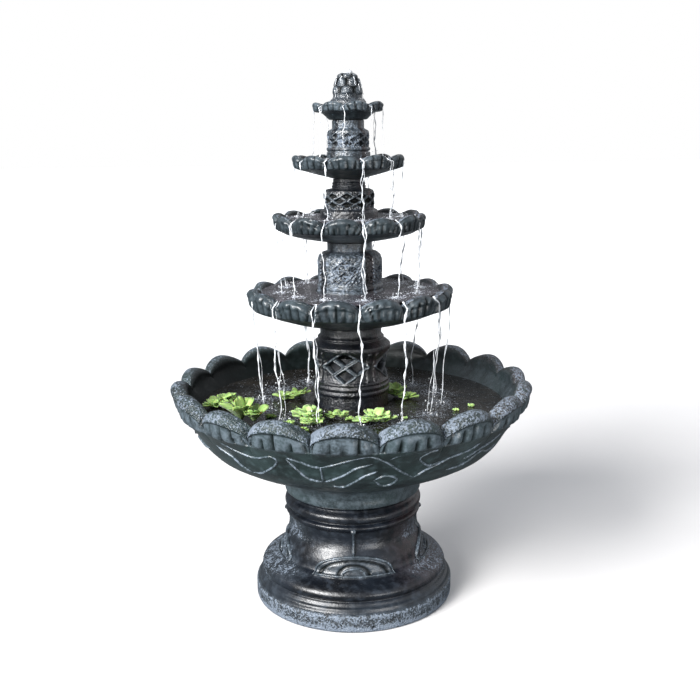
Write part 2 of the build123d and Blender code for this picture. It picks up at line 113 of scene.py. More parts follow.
class Shape:
    """Quads gathered from several grids, which become one mesh object."""

    def __init__(self):
        self.points = []
        self.quads = []
        self.caps = []
        self.marks = {}
        self.count = 0

    def grid(self, points, wrap_rows=True, wrap_columns=True, capped=False, **marks):
        """Adds a grid of points[row, column]; marks are values at its points, for the materials."""
        rows, columns = points.shape[:2]
        index = np.arange(rows * columns).reshape(rows, columns) + self.count
        if capped:
            self.caps += [index[0][::-1].tolist(), index[-1].tolist()]
        if wrap_rows:
            index = np.vstack([index, index[:1]])
        if wrap_columns:
            index = np.hstack([index, index[:, :1]])
        quads = np.stack([index[:-1, :-1], index[:-1, 1:], index[1:, 1:], index[1:, :-1]], -1)
        self.quads.append(quads.reshape(-1, 4))
        self.points.append(points.reshape(-1, 3))
        for name in marks:
            self.marks.setdefault(name, [np.zeros(self.count)])
        for name, values in self.marks.items():
            value = np.broadcast_to(marks.get(name, 0.0), (rows, columns))
            values.append(value.reshape(-1))
        self.count += rows * columns

    def build(self, name, material):
        """The mesh object, shaded smooth."""
        quads = np.vstack(self.quads)
        corners = np.concatenate([quads.reshape(-1)] + [np.array(c) for c in self.caps])
        sizes = np.array([4] * len(quads) + [len(c) for c in self.caps])
        mesh = bpy.data.meshes.new(name)
        mesh.vertices.add(self.count)
        mesh.vertices.foreach_set("co", np.vstack(self.points).astype(np.float32).reshape(-1))
        mesh.loops.add(len(corners))
        mesh.loops.foreach_set("vertex_index", corners.astype(np.int32))
        mesh.polygons.add(len(sizes))
        mesh.polygons.foreach_set("loop_start", (np.cumsum(sizes) - sizes).astype(np.int32))
        mesh.update(calc_edges=True)
        mesh.validate()
        mesh.shade_smooth()
        for mark, values in self.marks.items():
            layer = mesh.attributes.new(mark, "FLOAT", "POINT")
            layer.data.foreach_set("value", np.concatenate(values).astype(np.float32))
        mesh.materials.append(material)
        made = bpy.data.objects.new(name, mesh)
        bpy.context.scene.collection.objects.link(made)
        return made


def lump(rng, azimuth, height, size):
    """Slow random unevenness of a hand-finished casting, in millimetres."""
    total = 0
    for _ in range(5):
        turns = rng.integers(2, 9)
        pitch = rng.uniform(60, 200)
        total = total + np.sin(turns * azimuth + height / pitch * tau + rng.uniform(0, tau))
    return size * total / 5


def through(points, steps):
    """A smooth line through the given points (Catmull-Rom)."""
    points = np.asarray(points, float)
    padded = np.vstack([2 * points[0] - points[1], points, 2 * points[-1] - points[-2]])
    t = np.linspace(0, 1, steps, endpoint=False)[:, None]
    runs = []
    for a, b, c, d in zip(padded, padded[1:], padded[2:], padded[3:]):
        runs.append(0.5 * (2 * b + (c - a) * t + (2 * a - 5 * b + 4 * c - d) * t * t
                           + (3 * b - a - 3 * c + d) * t ** 3))
    return np.vstack(runs + [points[-1:]])


def unit(vectors):
    """The vectors at length 1."""
    return vectors / np.maximum(np.linalg.norm(vectors, axis=-1, keepdims=True), 1e-12)


def tube(path, normals, wide, high, sides=8):
    """Rings of an elliptic tube along a path, in the path's units: a grid for Shape.grid."""
    tangents = unit(np.gradient(path, axis=0))
    across = unit(np.cross(tangents, normals))
    up = np.cross(across, tangents)
    turn = np.linspace(0, tau, sides, endpoint=False)[None, :, None]
    wide = np.broadcast_to(wide, len(path))[:, None, None]
    high = np.broadcast_to(high, len(path))[:, None, None]
    rings = path[:, None] + across[:, None] * np.cos(turn) * wide + up[:, None] * np.sin(turn) * high
    return rings[:, ::-1]


def bead(shape, surface, path, wide, high, steps=8, **marks):
    """A rounded ridge along (azimuth, height) points on a turned wall, half sunk into it.

    surface is the wall's outline; its heights grow along it. marks are values for the materials."""
    line = through(path, steps)
    azimuth = np.radians(line[:, 0])
    height = line[:, 1]
    radius = np.interp(height, surface[:, 1], surface[:, 0])
    above = np.interp(height + 2, surface[:, 1], surface[:, 0])
    lean = np.arctan2(above - radius, 2.0)
    points = around(radius, height, azimuth)
    normals = np.stack([np.sin(azimuth) * np.cos(lean), -np.cos(azimuth) * np.cos(lean), -np.sin(lean)], -1)
    t = np.linspace(0, 1, len(points))
    taper = 0.25 + 0.75 * ease(0, 0.12, t) * ease(1, 0.88, t)
    rings = tube(points, normals, wide / 2 * taper * MM, high * taper * MM)
    shape.grid(rings, wrap_rows=False, capped=True, **marks)


# ---- materials ----

def add(tree, kind, *inputs, **settings):
    """A new shader node. inputs are (socket, value or output) pairs."""
    made = tree.nodes.new("ShaderNode" + kind)
    for key, value in settings.items():
        setattr(made, key, value)
    for socket, value in inputs:
        if isinstance(value, bpy.types.NodeSocket):
            tree.links.new(value, made.inputs[socket])
        else:
            made.inputs[socket].default_value = value
    return made


def new_material(name, **values):
    """A material, its node tree and Principled shader, and the object's own coordinates.

    values are the shader's sockets, with _ for a space."""
    made = bpy.data.materials.new(name)
    made.use_nodes = True
    shader = made.node_tree.nodes["Principled BSDF"]
    for key, value in values.items():
        shader.inputs[key.replace("_", " ")].default_value = value
    return made, made.node_tree, shader, add(made.node_tree, "TexCoord").outputs["Object"]


def noise(place, scale, detail=4.0, stretch=None, distortion=0.0):
    """Noise over the object's own coordinates, in features per metre; stretch scales each axis."""
    tree = place.id_data
    if stretch:
        place = add(tree, "VectorMath", (0, place), (1, stretch), operation="MULTIPLY").outputs[0]
    made = add(tree, "TexNoise", ("Vector", place), ("Scale", scale), ("Detail", detail),
               ("Distortion", distortion))
    return made.outputs["Fac"]


def ramp(value, low, high, start=0.0, end=1.0):
    """value from low to high, mapped smoothly to start to end."""
    return add(value.id_data, "MapRange", (0, value), (1, low), (2, high), (3, start), (4, end),
               interpolation_type="SMOOTHSTEP").outputs[0]


def product(first, second):
    """A value multiplied by another or by a number."""
    return add(first.id_data, "Math", (0, first), (1, second), operation="MULTIPLY").outputs[0]


def total(first, second):
    """A value with another or a number added."""
    return add(first.id_data, "Math", (0, first), (1, second), operation="ADD").outputs[0]


def mix(share, first, second):
    """A colour between two, by share."""
    return add(share.id_data, "Mix", (0, share), (6, first), (7, second), data_type="RGBA").outputs[2]


def mark(tree, name):
    """A value stored at the mesh's points."""
    return add(tree, "Attribute", attribute_name=name).outputs["Fac"]


def bump(height, distance, under=None, strength=1.0):
    """Fine relief, on top of another if given."""
    inputs = [("Height", height), ("Distance", distance), ("Strength", strength)]
    if under:
        inputs.append(("Normal", under))
    return add(height.id_data, "Bump", *inputs).outputs["Normal"]


def drive(shader, **outputs):
    """Links outputs to a shader's sockets, named with _ for a space."""
    for key, output in outputs.items():
        shader.id_data.links.new(output, shader.inputs[key.replace("_", " ")])


def colour(red, green, blue):
    """A linear colour from the usual 0-255 values."""
    return tuple((c / 255) ** 2.2 for c in (red, green, blue)) + (1.0,)


RUST_TONE = colour(58, 36, 32)
WEAR_AND_PAINTED_LIGHT_TONE = colour(77, 86, 93)
PAINTED_SHADE_AND_DRIP_TONE = colour(13, 15, 14)
CHIP_AND_HIGHLIGHT_TONE = colour(106, 115, 127)


def stone_colour(tree, tint, place, middle, fine):
    """Mottled stone: light where worn and where light is painted on, rust-brown where marked so, dark with
    painted shade in its hollows and with drip stains, and how chipped it is, with a painted highlight among
    the chips.
    """
    slow = noise(place, 7.0, 5.0, distortion=0.6)
    patches = product(total(middle, fine), 0.5)
    base = mix(ramp(slow, 0.35, 0.68), tint[0], tint[1])
    base = mix(ramp(middle, 0.45, 0.75, 0.0, 0.45), base, tint[2])
    rust = product(mark(tree, "rust"), ramp(middle, 0.3, 0.62))
    base = mix(rust, base, RUST_TONE)
    # The wear mark is real wear, and on the bowls it also holds a painted highlight and painted light.
    worn = product(mark(tree, "worn"), ramp(patches, 0.38, 0.62, 0.3, 1.0))
    base = mix(worn, base, WEAR_AND_PAINTED_LIGHT_TONE)
    # Painted shade: the hollow mark darkens creases, openings, grooves and the bowls' insides; on the foot it
    # also holds drip stains.
    base = mix(mark(tree, "hollow"), base, PAINTED_SHADE_AND_DRIP_TONE)
    fleck = total(product(mark(tree, "speckle"), 0.35), 0.3)
    # On the bowls' caps the pale mark also carries a painted highlight and painted shade, beside real chips.
    chips_and_highlight = total(mark(tree, "pale"), patches)
    chips_and_highlight = ramp(total(chips_and_highlight, product(fine, fleck)), 1.02, 1.2)
    return mix(product(chips_and_highlight, 0.85), base, CHIP_AND_HIGHLIGHT_TONE), chips_and_highlight


def stone_relief(tree, place, middle, fine):
    """The stone's fine relief, with runs of water where it is wet."""
    flow = noise(place, 60.0, 3.0, stretch=(1.0, 1.0, 0.16))
    relief = bump(product(mark(tree, "wet"), flow), 0.0022)
    relief = bump(middle, 0.0014, relief, 0.5)
    relief = bump(fine, 0.0012, relief, 0.6)
    relief = bump(product(mark(tree, "speckle"), fine), 0.006, relief)
    return bump(noise(place, 420.0, 3.0), 0.0004, relief, 0.5)


def cast_stone(name, tint):
    """Wet, dark cast stone: glossy, but dull in its hollows and rough where chipped."""
    made, tree, shader, place = new_material(name)
    middle = noise(place, 46.0, 6.0)
    fine = noise(place, 170.0, 4.0)
    base, chips_and_highlight = stone_colour(tree, tint, place, middle, fine)
    wet, hollow = mark(tree, "wet"), mark(tree, "hollow")
    gloss = total(product(wet, 0.55), 0.24)
    relief = stone_relief(tree, place, middle, fine)
    drive(shader, Base_Color=base, Normal=relief, Coat_Normal=relief,
          Roughness=total(ramp(middle, 0.3, 0.75, 0.28, 0.48), product(chips_and_highlight, 0.15)),
          Coat_Weight=product(gloss, ramp(hollow, 0.1, 0.8, 1.0, 0.1)),
          Coat_Roughness=ramp(wet, 0.1, 0.9, 0.16, 0.06),
          Specular_IOR_Level=ramp(hollow, 0.1, 0.8, 0.36, 0.1))
    return made


def pool_water(name, base, foam):
    """A dark pool: ripples, and foam and bubbles where streams land."""
    made, tree, shader, place = new_material(name, IOR=1.33, Specular_IOR_Level=0.3)
    slow = noise(place, 14.0, 4.0)
    fine = noise(place, 130.0, 4.0, distortion=1.2)
    bubbles = add(tree, "TexVoronoi", ("Vector", place), ("Scale", 150.0)).outputs["Distance"]
    sparse = noise(place, 210.0, 2.0)
    churn = total(product(mark(tree, "foam"), 0.17), fine)
    churn = ramp(total(churn, product(sparse, 0.5)), 0.90, 1.0)
    body = mix(ramp(slow, 0.35, 0.7), base[0], base[1])
    body = mix(ramp(bubbles, 0.32, 0.12, 0.0, 0.12), body, foam)
    relief = bump(noise(place, 34.0, 3.0), 0.006, strength=0.5)
    drive(shader, Base_Color=mix(churn, body, foam), Normal=bump(fine, 0.0025, relief, 0.6),
          Roughness=ramp(churn, 0.0, 1.0, 0.05, 0.35))
    return made


def falling_water(name):
    """Thin aerated water: half glass, half white."""
    made, _, shader, place = new_material(
        name, IOR=1.33, Transmission_Weight=0.45, Specular_IOR_Level=0.7, Coat_Weight=0.4)
    streaks = noise(place, 90.0, 3.0, stretch=(1.0, 1.0, 0.3))
    drive(shader, Base_Color=mix(streaks, colour(226, 232, 240), colour(255, 255, 255)),
          Roughness=ramp(streaks, 0.3, 0.7, 0.04, 0.2),
          Normal=bump(noise(place, 160.0, 2.0), 0.002))
    return made


def leaf(name, young, old):
    """Velvety water-lettuce leaf: pale along its ribs, yellower at its heart."""
    made, tree, shader, place = new_material(
        name, Sheen_Weight=0.15, Subsurface_Weight=0.12, Subsurface_Scale=0.004)
    patches = noise(place, 60.0, 4.0)
    base = mix(ramp(patches, 0.3, 0.7), old, young)
    base = mix(mark(tree, "rib"), base, colour(176, 200, 126))
    base = mix(mark(tree, "heart"), base, colour(96, 128, 44))
    drive(shader, Base_Color=base, Roughness=ramp(patches, 0.3, 0.7, 0.38, 0.6),
          Normal=bump(noise(place, 700.0, 3.0), 0.0006))
    return made


def plain_finish(name, dark, light, scale, rough, depth, socket="Metallic", value=0.0):
    """A moulded, cast or drawn finish: two close tones, uneven gloss and fine relief.

    value is set on the named socket of the shader."""
    made, _, shader, place = new_material(name)
    shader.inputs[socket].default_value = value
    grain = noise(place, scale, 5.0)
    drive(shader, Base_Color=mix(grain, colour(*dark), colour(*light)),
          Roughness=ramp(grain, 0.3, 0.7, rough * 0.8, rough * 1.25), Normal=bump(grain, depth))
    return made


STONE_TONES = (colour(13, 15, 19), colour(24, 28, 34), colour(44, 51, 60))
BLACK_TONES = (colour(7, 8, 11), colour(13, 16, 21), colour(30, 36, 45))
GREEN_TONES = (colour(21, 29, 29), colour(39, 51, 51), colour(67, 82, 85))
GREY_TONES = (colour(16, 21, 23), colour(35, 43, 46), colour(68, 78, 82))
stone = cast_stone("wet_stone", STONE_TONES)
black_stone = cast_stone("wet_black_stone", BLACK_TONES)
green_stone = cast_stone("wet_green_stone", GREEN_TONES)
grey_stone = cast_stone("wet_grey_stone", GREY_TONES)
basin_water = pool_water(
    "basin_water", (colour(20, 18, 15), colour(36, 33, 29)), colour(112, 118, 126))
dish_water = pool_water(
    "dish_water", (colour(40, 38, 40), colour(66, 63, 68)), colour(200, 206, 216))
stream_water = falling_water("falling_water")
leaf_green = leaf("leaf_green", colour(120, 152, 66), colour(80, 114, 46))
leaf_pale = leaf("leaf_pale", colour(158, 188, 112), colour(108, 146, 74))
leaf_orange = leaf("leaf_orange", colour(196, 120, 40), colour(168, 84, 30))


# ---- pieces ----

def piece(shape, name, material, body):
    """Turns a shape into a piece that rides on a body."""
    made = shape.build(name, material)
    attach(made, body)
    return made


def casting(shape, node, body, material):
    """Turns a shape into the cast piece that stands in for a CAD node."""
    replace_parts(piece(shape, node + "_casting", material, body), node)


# ---- bowls ----

def rim_pair(notch, lobe, inner, bottom, crest, saddle):
    """The rim's outline at a lobe's middle and in the valley beside it, point for point."""
    wide = lobe - inner
    high = crest - bottom
    middle = [(notch - 0.20 * wide, bottom)]
    for back, up in ((0.24, 0.09), (0.13, 0.36), (0.10, 0.60), (0, 0.67), (0.02, 0.82), (0.20, 0.96),
                     (0.46, 1), (0.76, 0.95)):
        middle.append((lobe - back * wide, bottom + up * high))
    middle += [(inner + 0.03 * wide, bottom + 0.78 * high), (inner, bottom + 0.60 * high)]
    valley = []
    for back, up in ((0.30, 0), (0.25, 0.04), (0.24, 0.08), (0.25, 0.12), (0.28, 0.16), (0.33, 0.22),
                     (0.40, 0.32)):
        valley.append((notch - back * wide, bottom + up * high))
    valley += [(notch - 0.48 * wide, saddle - 0.16 * high), (inner + 0.12 * wide, saddle - 0.03 * high),
               (inner + 0.03 * wide, saddle - 0.10 * high), (inner, bottom + 0.36 * high)]
    return middle, valley


# How many points each lobe has across it.
LOBE_COLUMNS = 34


def bowl_lines(outer, inner, bore, rim, spacing):
    """A bowl's outline at a lobe's middle and in a valley, and the rows where its rim starts and ends."""
    middle, valley = rim_pair(*rim)
    close = [(bore, inner[-1][1]), (bore, outer[0][1])]
    counts = np.concatenate([
        step_counts(outer + middle[:1], spacing * 1.6), step_counts(middle, spacing * 0.75),
        step_counts(middle[-1:] + inner + close, spacing * 2.2)])
    at_lobe = soften(resample(outer + middle + inner + close, counts), 3)
    at_valley = soften(resample(outer + valley + inner + close, counts), 3)
    first = int(counts[:len(outer)].sum())
    last = int(counts[:len(outer) + len(middle) - 1].sum())
    return at_lobe, at_valley, first, last


def bowl_marks(azimuth, u, down, height, groove, petals):
    """A bowl's stone: worn petals and collar, chipped caps, painted shade in its creases and over its inside,
    painted light on the inside of its +X side, and on its caps a painted highlight on the left flanks of the
    lobes on its -X half and painted shade on every right flank.

    down runs from 0 at the foot of the rim's outer face to 1 at its inner edge."""
    top, collar = petals["top"], petals.get("collar", 0)
    cap = ease(top - 0.03, top + 0.03, down) * ease(0.95, 0.72, down)
    # lit is the +X side, whose inner wall faces the light: painted light there thins the painted shade inside
    # and lightens the inner wall.
    lit = ease(0.2, 0.9, np.sin(azimuth))
    # Painted highlight on the left flank of each cap on the -X half, and painted shade on each cap's right
    # flank.
    left = ease(-0.4, -0.9, u) * ease(0.5, -0.3, np.sin(azimuth))
    right = ease(-0.1, 0.8, u)
    side = side_rust(azimuth)
    # Painted shade over the inside, thinner on the +X side.
    inside = ease(0.72, 0.95, down) * (1 - 0.7 * lit)
    petal = ease(0.02, 0.10, down) * ease(top, top - 0.04, down) * (1 - groove)
    # The wear mark: real wear on petals and caps, plus the painted highlight and painted shade of the flanks.
    worn = (petals["wear"] * petal + cap * (0.30 + 0.5 * left - 0.22 * right)) * (1 - 0.6 * side)
    worn = worn + 0.6 * ease(collar, collar - 22, height) * (down < 0)
    # Painted light on the inner wall of the +X side.
    worn = worn + 0.45 * lit * ease(0.8, 0.95, down)
    # hollow is painted shade in the creases and over the inside; the wear and pale marks also carry the
    # painted highlight and painted flank shade.
    return dict(
        worn=worn, speckle=cap, pale=cap * (0.27 + 0.28 * left - 0.12 * right),
        hollow=np.clip(0.9 * groove + 0.85 * inside, 0, 0.95), rust=side * (0.15 + 0.65 * cap),
        wet=0.3 * ease(0.6, 1.0, down))


def lobed_bowl(shape, rng, outer, inner, bore, rim, lobes, turn, spacing, petals):
    """A bowl with a scalloped rim, as one closed skin; returns its wall's outline.

    outer runs up to the rim, inner down from it to the bore; rim is rim_pair's sizes, and petals is
    petal_relief's."""
    at_lobe, at_valley, first, last = bowl_lines(outer, inner, bore, rim, spacing)
    t = (np.arange(LOBE_COLUMNS) + 0.5) / LOBE_COLUMNS * 2 - 1
    u = np.tile(np.sin(t * pi / 2), lobes)
    number = np.repeat(np.arange(lobes), LOBE_COLUMNS)
    azimuth = (np.radians(turn) + (number + u / 2) * tau / lobes)[None, :]
    u = u[None, :]
    down = (np.arange(len(at_lobe))[:, None] - first) / (last - first)
    dome = (1 - np.abs(u) ** 1.8) ** (0.5 + 0.25 * ease(0.45, 0.85, down))
    share = np.clip(dome * (1 + 0.05 * rng.standard_normal(lobes))[number], 0, 1.04)
    line = at_valley[:, None] + (at_lobe - at_valley)[:, None] * share[..., None]
    height = line[..., 1]
    relief, groove = petal_relief(rng, down, u, number, petals, lobes)
    radius = line[..., 0] + relief + lump(rng, azimuth, height, 0.8)
    shape.grid(around(radius, height, azimuth), **bowl_marks(azimuth, u, down, height, groove, petals))
    return at_valley[:first + 1]


def petal_relief(rng, down, u, number, petals, lobes):
    """Relief of a lobe's outer face, petals parted by creases that widen downwards, and the creases.

    petals says how many there are, how deep their creases, how far their face lies back (inset), where it
    ends (top), how worn it is, how much wider (lean) it is at its foot, how aslant its petals may stand,
    and how high a worn collar reaches."""
    top, count = petals["top"], petals["count"]
    zone = ease(top, top - 0.025, down) * ease(0.0, 0.12, down)
    fan = np.clip(1 - down / (top + 0.01), 0, 1)
    strength = rng.uniform(0.45, 1.2, (lobes, count + 3))
    shift = rng.uniform(-0.15, 0.15, (lobes, count + 3))
    slant = petals["slant"] * rng.uniform(-1, 1, lobes)[number][None, :]
    place = (u / (0.80 + petals["lean"] * fan) + slant * fan + 1) / 2 * count
    own = np.clip(np.round(place).astype(int) + 1, 0, count + 2)
    offset = np.abs(place + shift[number[None, :], own] - own + 1) * 2
    within = ease(0.97, 0.88, np.abs(u)) * strength[number[None, :], own]
    groove = zone * within * ease(0.05 + 0.55 * fan, 0.12 * fan, offset)
    swell = np.sqrt(np.clip(offset * (2 - offset), 0, 1))
    relief = petals["depth"] * (0.35 * swell * within - 0.75 * groove) - petals["inset"]
    return zone * relief, np.clip(groove, 0, 1)


def side_rust(azimuth):
    """How rusty the stone is: most on the side that faces +X."""
    return 0.75 * ease(0.1, 1.0, np.sin(azimuth - 0.25))


def basin():
    """The wide bowl: eighteen lobes, and flowing leaf ridges on its wall."""
    rng = np.random.default_rng(SEED)
    shape = Shape()
    outer = [(141, 402), (141, 351), (212, 349), (218, 353), (220, 372), (214, 381), (222, 391), (224, 408),
             (250, 425), (319, 450), (388, 480), (438, 508), (470, 540), (500, 590)]
    inner = [(504, 670), (478, 630), (437, 570), (372, 512), (300, 474), (200, BASIN_FLOOR)]
    wall = lobed_bowl(
        shape, rng, outer, inner, 26, (546, 566, 508, 634, 726, 688), 18, -2.3, 4.6,
        dict(count=4, depth=15, inset=5.5, top=0.41, wear=1.0, lean=0.16, slant=0.14, collar=432))
    leaf_ridges(shape, wall[np.argmax(wall[:, 0] > 221):])
    casting(shape, "basin", "basin", green_stone)


LEAF_RIDGES = [
    [(-49, 628), (-43, 620), (-38, 605), (-32, 597), (-26, 612), (-24, 600), (-26, 576), (-30, 553),
     (-33, 540), (-38, 533)],
    [(-50, 600), (-44, 578), (-41, 551), (-38, 533)],
    [(-21, 618), (-16, 604), (-13, 592), (-10, 587)],
    [(-21, 616), (-18, 577), (-15, 546), (-10, 534)],
    [(-10, 588), (-10, 562), (-10, 533)],
    [(-10, 587), (-5, 602), (0, 619), (5, 628), (10, 606), (15, 570), (21, 536)],
    [(-10, 534), (-6, 548), (-2, 567), (1, 586), (6, 600)],
    [(-7, 517), (-3, 516), (1, 540), (4, 559), (8, 573)],
    [(7, 540), (10, 554), (13, 551), (15, 535), (13, 516), (10, 517), (7, 540)],
    [(10, 606), (14, 626), (20, 629), (26, 628), (23, 622), (21, 604), (25, 574), (29, 580)],
    [(21, 536), (24, 556), (29, 574), (33, 588), (40, 596), (46, 618)],
    [(40, 566), (46, 584), (52, 596), (57, 618)],
    [(34, 540), (42, 548), (48, 574), (54, 560), (60, 566)],
]
RIDGE_REPEAT = 3


def leaf_ridges(shape, wall):
    """Raised leaf and wave lines that run round the basin's wall, the same on each third of it."""
    for k in range(RIDGE_REPEAT):
        for line in LEAF_RIDGES:
            path = [(a + 360 / RIDGE_REPEAT * k, z) for a, z in line]
            bead(shape, wall, path, 6, 4.5, pale=0.4, worn=1.0)
    for height, wide in ((431, 5), (441, 4)):
        bead(shape, wall, [(a, height) for a in range(0, 361, 6)], wide, 3, 2, pale=0.3)


DISHES = [
    dict(outer=[(97, 884), (110, 886), (125, 893), (188, 905), (250, 925), (286, 940)],
         inner=[(270, 980), (240, 954), (188, 936), (130, 928)],
         rim=(309, 324, 276, 944, 1009, 986), lobes=14, turn=17.7, spacing=3.4,
         petals=dict(count=4, depth=11, inset=2.6, top=0.62, wear=0.34, lean=-0.22, slant=0.3)),
    dict(outer=[(70, 1146), (110, 1152), (153, 1160), (198, 1172), (206, 1178)],
         inner=[(190, 1204), (155, 1188), (110, 1180)],
         rim=(224, 236, 202, 1182, 1232, 1215), lobes=12, turn=-5.0, spacing=2.8,
         petals=dict(count=4, depth=7.5, inset=2.0, top=0.64, wear=0.25, lean=-0.22, slant=0.3)),
    dict(outer=[(50, 1336), (64, 1340), (100, 1349), (127, 1357), (148, 1362)],
         inner=[(142, 1388), (122, 1374), (90, 1364)],
         rim=(163, 173, 146, 1365, 1406, 1392), lobes=10, turn=-5.5, spacing=2.3,
         petals=dict(count=3, depth=6.5, inset=1.6, top=0.66, wear=0.5, lean=-0.2, slant=0.3)),
    dict(outer=[(50, 1508), (57, 1508), (63, 1515), (77, 1527), (81, 1530), (97, 1530.5)],
         inner=[(86, 1546), (70, 1541)],
         rim=(102, 109, 91, 1531, 1559, 1550), lobes=8, turn=-29.1, spacing=1.6,
         petals=dict(count=3, depth=4.2, inset=1.0, top=0.7, wear=0.9, lean=-0.2, slant=0.3)),
]


def dish(n):
    """The scalloped dish of tier n + 1."""
    shape = Shape()
    lobed_bowl(shape, np.random.default_rng(SEED + 10 + n), bore=BORES[n], **DISHES[n])
    casting(shape, f"dish_{n + 1}", f"tier_{n + 1}", grey_stone)


# ---- columns and foot ----

def from_panel(azimuth, turn=0.0):
    """The angle from the middle of the nearest of four panels, in radians."""
    return (azimuth - turn + pi / 4) % (pi / 2) - pi / 4


def trellis(turn, azimuth, height, radius, middle, cell, depth, whole):
    """Relief of a diamond trellis, how deep in a diamond opening each point is, and its straps.

    cell is a diamond cell's half width and half height; a whole trellis runs on all the way round."""
    wide, high = cell
    if whole:
        count = round(tau * radius / (2 * wide))
        across = (azimuth - turn) * count / pi
    else:
        across = from_panel(azimuth, turn) * radius / wide
    up = (height - middle) / high
    first = across + up
    second = across - up
    own_first = 2 * np.round((first - 1) / 2) + 1
    own_second = 2 * np.round((second - 1) / 2) + 1
    reach = np.maximum(np.abs(first - own_first), np.abs(second - own_second))
    hollow = ease(0.78, 0.66, reach)
    level = (own_first - own_second) / 2
    place = (own_first + own_second) / 2
    kept = (np.abs(level) <= 1).astype(float)
    if not whole:
        kept = kept * (np.abs(place) + np.abs(level) <= 1.01)
    strap = ease(1.0, 0.92, reach) * (1 - hollow) * kept
    return kept * (0.18 * depth * strap - depth * hollow), hollow * kept, strap


def panel_frame(across, half_width, wide, high):
    """Raised strips at the two sides of each of four panels."""
    return high * ease(wide, wide * 0.4, np.abs(np.abs(across) - half_width))


def scroll(across, height, middle, pitch, depth):
    """Small carved lozenges and scrolls, close together."""
    x = across / pitch
    z = (height - middle) / pitch
    weave = np.sin(2.1 * x + 1.3 * np.sin(1.9 * z)) * np.sin(2.3 * z + 1.1 * np.cos(2.2 * x))
    return -depth * ease(0.25, 0.6, weave)


# Each column: its outlines, the band of height that is carved and the face's radius there, then the
# arguments of trellis, scroll and panel_frame, how far painted shade darkens the openings and the scrolls
# (hollows), and how worn and how chipped its panels are.
COLUMNS = [
    dict(outer=[(117, 450), (117, 676), (121, 680), (121, 688), (117, 691), (120, 698), (120, 704),
                (116, 708), (118, 716), (111, 722), (107, 740), (106, 762), (109, 790), (118, 806),
                (124, 818), (124, 828), (112, 838), (101, 844), (105, 850), (99, 856), (96, 860), (96, 882)],
         inner=[(70, 882), (70, 840), (88, 800), (95, 700), (95, 452)], turn=-10.0, columns=400, step=2.2,
         band=(720, 812), face=110, trellis=(769, (41, 27.5), 22, False), frame=(74, 8, 5),
         worn=0.0, pale=0.12),
    dict(outer=[(104, 928), (104, 996), (99, 1000), (102, 1006), (102, 1014), (97, 1018), (99, 1036),
                (99, 1086), (96, 1104), (84, 1114), (70, 1118), (69, 1120), (69, 1144)],
         inner=[(45, 1144), (45, 1110), (78, 1070), (78, 930)], turn=-8.6, columns=400, step=1.7,
         band=(1022, 1108), face=98, trellis=(1066, (25, 18), 7, False), scroll=(1062, 7, 5),
         frame=(60, 6, 4), hollows=(0.7, 0.12), worn=0.75, pale=0.30),
    dict(outer=[(88, 1180), (88, 1236), (86, 1241), (76, 1246), (77, 1290), (74, 1300), (66, 1304),
                (50, 1307), (53, 1312), (49, 1317), (52, 1321), (48, 1326), (48, 1334)],
         inner=[(28, 1334), (28, 1310), (56, 1280), (58, 1182)], turn=-4.5, columns=360, step=1.5,
         band=(1246, 1300), face=76, trellis=(1272, (24, 13), 7, True), scroll=(1272, 5, 3),
         frame=(42, 5, 3), hollows=(1.0, 0.2), worn=0.0, pale=0.14),
    dict(outer=[(66, 1364), (66, 1412), (62, 1416), (66, 1420), (66, 1425), (62, 1428), (63, 1470),
                (61, 1476), (55, 1479), (48, 1483), (48, 1506)],
         inner=[(28, 1506), (28, 1480), (44, 1460), (44, 1366)], turn=0.0, columns=360, step=1.3,
         band=(1428, 1472), face=62, trellis=(1449, (19, 11.5), 5, True), scroll=(1449, 5, 3),
         hollows=(0.7, 0.2), worn=0.6, pale=0.27),
]


def column_relief(sizes, azimuth, height):
    """The carving on a column: its relief, how deep in an opening or carved groove each point is, which sets
    its painted shade, and its straps.
    """
    low, high = sizes["band"]
    turn = radians(sizes["turn"])
    across = from_panel(azimuth, turn) * sizes["face"]
    relief, hollow, strap = trellis(turn, azimuth, height, sizes["face"], *sizes["trellis"])
    if "scroll" in sizes:
        carving = scroll(across, height, *sizes["scroll"]) * (1 - hollow)
        relief = relief + carving
        opening, cut = sizes["hollows"]
        # Painted shade in the openings and in the carved scroll grooves.
        hollow = opening * hollow - cut * carving
    if "frame" in sizes:
        relief = relief + panel_frame(across, *sizes["frame"])
    zone = ease(low - 2, low + 4, height) * ease(high + 2, high - 4, height)
    return relief * zone, hollow * zone, strap * zone


def column(n):
    """The hollow column of tier n + 1, with its carved panels."""
    rng = np.random.default_rng(SEED + 20 + n)
    sizes = COLUMNS[n]
    front = outline(sizes["outer"], sizes["step"], 1)
    back = outline(sizes["inner"], sizes["step"] * 6, 0)
    line = np.vstack([front, back])
    azimuth = full_turn(sizes["columns"])
    radius = np.repeat(line[:, :1], azimuth.size, 1)
    height = np.repeat(line[:, 1:], azimuth.size, 1)
    face = (np.arange(len(line)) < len(front))[:, None]
    relief, hollow, strap = column_relief(sizes, azimuth, height)
    relief = relief + lump(rng, azimuth, height, 0.5)
    panel = ease(0.68, 0.60, np.abs(from_panel(azimuth, radians(sizes["turn"]))))
    edge = ease(0.02, 0.2, hollow) * ease(0.9, 0.5, hollow)
    worn = np.clip(sizes["worn"] * panel + 0.9 * strap + 0.3 * edge, 0, 1) * face * (1 - hollow)
    shape = Shape()
    # The hollow mark paints shade in the openings and grooves.
    shape.grid(around(radius + relief * face, height, azimuth), worn=worn,
               pale=(sizes["pale"] * panel + 0.2 * edge) * face, wet=face * 0.9, speckle=face * 0.4,
               rust=side_rust(azimuth) * (1 - hollow), hollow=hollow * face)
    casting(shape, f"column_{n + 1}", f"tier_{n + 1}", stone if n else black_stone)


